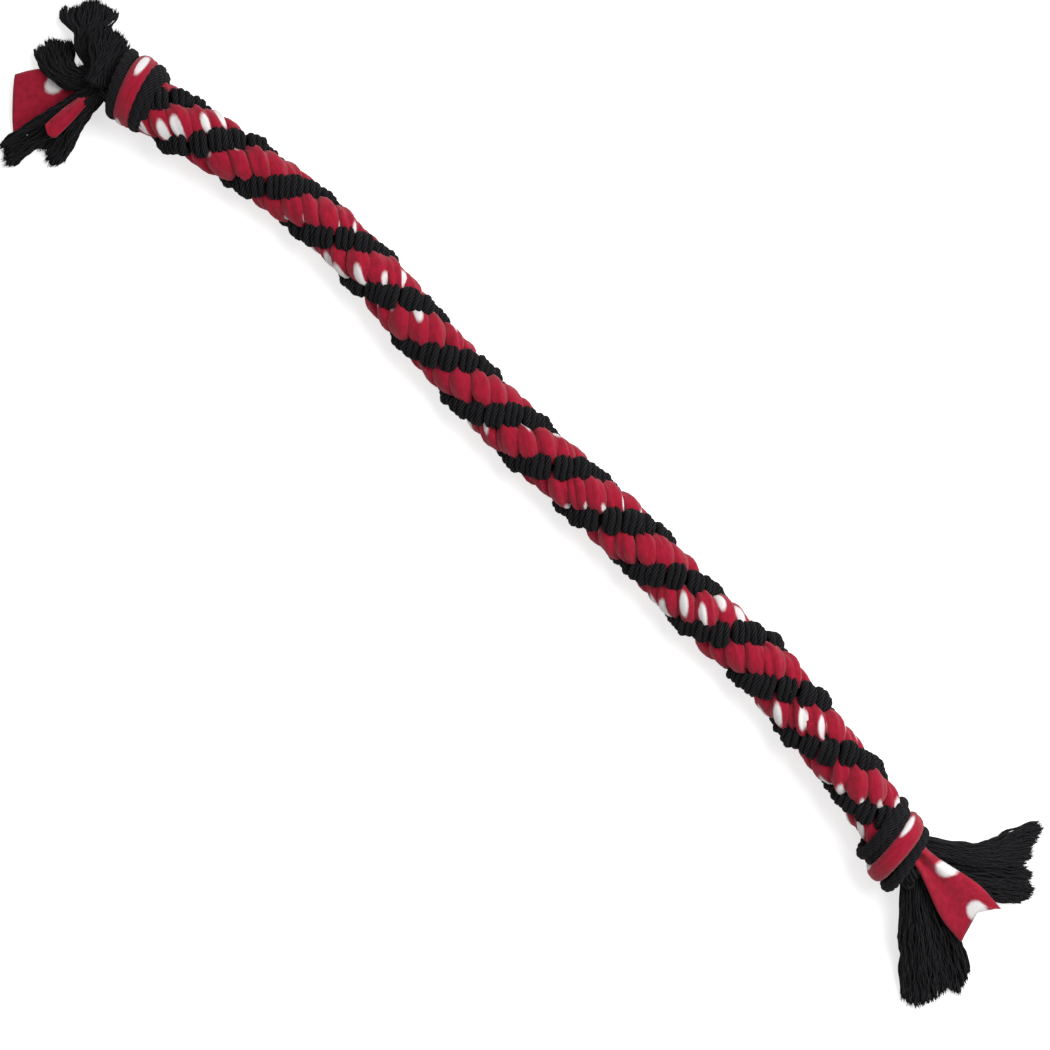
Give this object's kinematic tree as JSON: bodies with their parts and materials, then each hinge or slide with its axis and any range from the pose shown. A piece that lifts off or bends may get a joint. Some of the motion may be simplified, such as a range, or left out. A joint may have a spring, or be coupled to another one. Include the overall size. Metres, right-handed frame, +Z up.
{
  "type": "rope dog toy",
  "caption": "Spiral-braided tug rope of red spotted fleece strips and grouped black cords, knotted at both ends with loose frayed tails.",
  "frame": {"origin": "middle of the toy's outline, on the surface that it lies on", "axes": "+X along the rope from end A to end B, +Z up from the surface, +Y to the left of someone going from A to B"},
  "size_m": [0.6117, 0.1112, 0.0336],
  "materials": {
    "red_fleece": "red polyester fleece with white spots, matte and napped",
    "black_cord": "black twisted cotton cord, matte, frayed at its cut ends"
  },
  "bodies": {
    "braid_mid_a": {"fleece_1_stretch_2": "red_fleece", "fleece_2_stretch_2": "red_fleece", "cord_1_stretch_2": "black_cord", "cord_2_stretch_2": "black_cord", "cord_3_stretch_2": "black_cord", "cord_4_stretch_2": "black_cord", "cord_5_stretch_2": "black_cord", "cord_6_stretch_2": "black_cord"},
    "braid_end_a": {"fleece_1_stretch_1": "red_fleece", "fleece_2_stretch_1": "red_fleece", "cord_1_stretch_1": "black_cord", "cord_2_stretch_1": "black_cord", "cord_3_stretch_1": "black_cord", "cord_4_stretch_1": "black_cord", "cord_5_stretch_1": "black_cord", "cord_6_stretch_1": "black_cord", "knot_a_fleece_wrap": "red_fleece", "knot_a_cord_wrap_1": "black_cord", "knot_a_cord_wrap_2": "black_cord", "knot_a_cord_wrap_3": "black_cord"},
    "braid_mid_b": {"fleece_1_stretch_3": "red_fleece", "fleece_2_stretch_3": "red_fleece", "cord_1_stretch_3": "black_cord", "cord_2_stretch_3": "black_cord", "cord_3_stretch_3": "black_cord", "cord_4_stretch_3": "black_cord", "cord_5_stretch_3": "black_cord", "cord_6_stretch_3": "black_cord"},
    "braid_end_b": {"fleece_1_stretch_4": "red_fleece", "fleece_2_stretch_4": "red_fleece", "cord_1_stretch_4": "black_cord", "cord_2_stretch_4": "black_cord", "cord_3_stretch_4": "black_cord", "cord_4_stretch_4": "black_cord", "cord_5_stretch_4": "black_cord", "cord_6_stretch_4": "black_cord", "knot_b_fleece_wrap": "red_fleece", "knot_b_cord_wrap_1": "black_cord", "knot_b_cord_wrap_2": "black_cord", "knot_b_cord_wrap_3": "black_cord"},
    "tail_a_cord_1": {"tail_a_cord_1": "black_cord"},
    "tail_a_cord_2": {"tail_a_cord_2": "black_cord"},
    "tail_a_cord_3": {"tail_a_cord_3": "black_cord"},
    "tail_a_cord_4": {"tail_a_cord_4": "black_cord"},
    "tail_a_fleece_1": {"tail_a_fleece_1": "red_fleece"},
    "tail_a_fleece_2": {"tail_a_fleece_2": "red_fleece"},
    "tail_b_cord_1": {"tail_b_cord_1": "black_cord"},
    "tail_b_cord_2": {"tail_b_cord_2": "black_cord"},
    "tail_b_cord_3": {"tail_b_cord_3": "black_cord"},
    "tail_b_cord_4": {"tail_b_cord_4": "black_cord"},
    "tail_b_fleece_1": {"tail_b_fleece_1": "red_fleece"},
    "tail_b_fleece_2": {"tail_b_fleece_2": "red_fleece"}
  },
  "joints": [
    {"name": "bend_a", "type": "hinge", "parent": "braid_mid_a", "child": "braid_end_a", "pos_m": [-0.13876, 0.02223, 0.0121], "axis": [0, 0, 1], "range_deg": [-30, 30]},
    {"name": "bend_mid", "type": "hinge", "parent": "braid_mid_a", "child": "braid_mid_b", "pos_m": [-0.00828, 0.01564, 0.0121], "axis": [0, 0, 1], "range_deg": [-30, 30]},
    {"name": "bend_b", "type": "hinge", "parent": "braid_mid_b", "child": "braid_end_b", "pos_m": [0.12239, 0.01681, 0.0121], "axis": [0, 0, 1], "range_deg": [-30, 30]},
    {"name": "tail_a_cord_1_swing", "type": "hinge", "parent": "braid_end_a", "child": "tail_a_cord_1", "pos_m": [-0.27162, 0.00536, 0.0162], "axis": [0, 0, 1], "range_deg": [-15, 0]},
    {"name": "tail_a_cord_2_swing", "type": "hinge", "parent": "braid_end_a", "child": "tail_a_cord_2", "pos_m": [-0.26947, -0.00109, 0.0162], "axis": [0, 0, 1], "range_deg": [0, 20]},
    {"name": "tail_a_cord_3_swing", "type": "hinge", "parent": "braid_end_a", "child": "tail_a_cord_3", "pos_m": [-0.27042, 0.00175, 0.0236], "axis": [0, 0, 1], "range_deg": [0, 35]},
    {"name": "tail_a_cord_4_swing", "type": "hinge", "parent": "braid_end_a", "child": "tail_a_cord_4", "pos_m": [-0.26732, -0.00754, 0.0162], "axis": [0, 0, 1], "range_deg": [-18, 8]},
    {"name": "tail_a_fleece_1_swing", "type": "hinge", "parent": "braid_end_a", "child": "tail_a_fleece_1", "pos_m": [-0.26995, 0.00002, 0.0098], "axis": [0, 0, 1], "range_deg": [-20, 0]},
    {"name": "tail_a_fleece_2_swing", "type": "hinge", "parent": "braid_end_a", "child": "tail_a_fleece_2", "pos_m": [-0.2676, -0.007, 0.0236], "axis": [0, 0, 1], "range_deg": [-4, 7]},
    {"name": "tail_b_cord_1_swing", "type": "hinge", "parent": "braid_end_b", "child": "tail_b_cord_1", "pos_m": [0.25372, -0.00808, 0.0162], "axis": [0, 0, 1], "range_deg": [-25, 0]},
    {"name": "tail_b_cord_2_swing", "type": "hinge", "parent": "braid_end_b", "child": "tail_b_cord_2", "pos_m": [0.25413, -0.00309, 0.0162], "axis": [0, 0, 1], "range_deg": [0, 18]},
    {"name": "tail_b_cord_3_swing", "type": "hinge", "parent": "braid_end_b", "child": "tail_b_cord_3", "pos_m": [0.25452, 0.00169, 0.0162], "axis": [0, 0, 1], "range_deg": [-10, 0]},
    {"name": "tail_b_cord_4_swing", "type": "hinge", "parent": "braid_end_b", "child": "tail_b_cord_4", "pos_m": [0.25506, 0.00827, 0.0162], "axis": [0, 0, 1], "range_deg": [0, 18]},
    {"name": "tail_b_fleece_1_swing", "type": "hinge", "parent": "braid_end_b", "child": "tail_b_fleece_1", "pos_m": [0.25449, 0.00009, 0.0236], "axis": [0, 0, 1], "range_deg": [-25, 25]},
    {"name": "tail_b_fleece_2_swing", "type": "hinge", "parent": "braid_end_b", "child": "tail_b_fleece_2", "pos_m": [0.25417, -0.0039, 0.0098], "axis": [0, 0, 1], "range_deg": [-20, 20]}
  ]
}
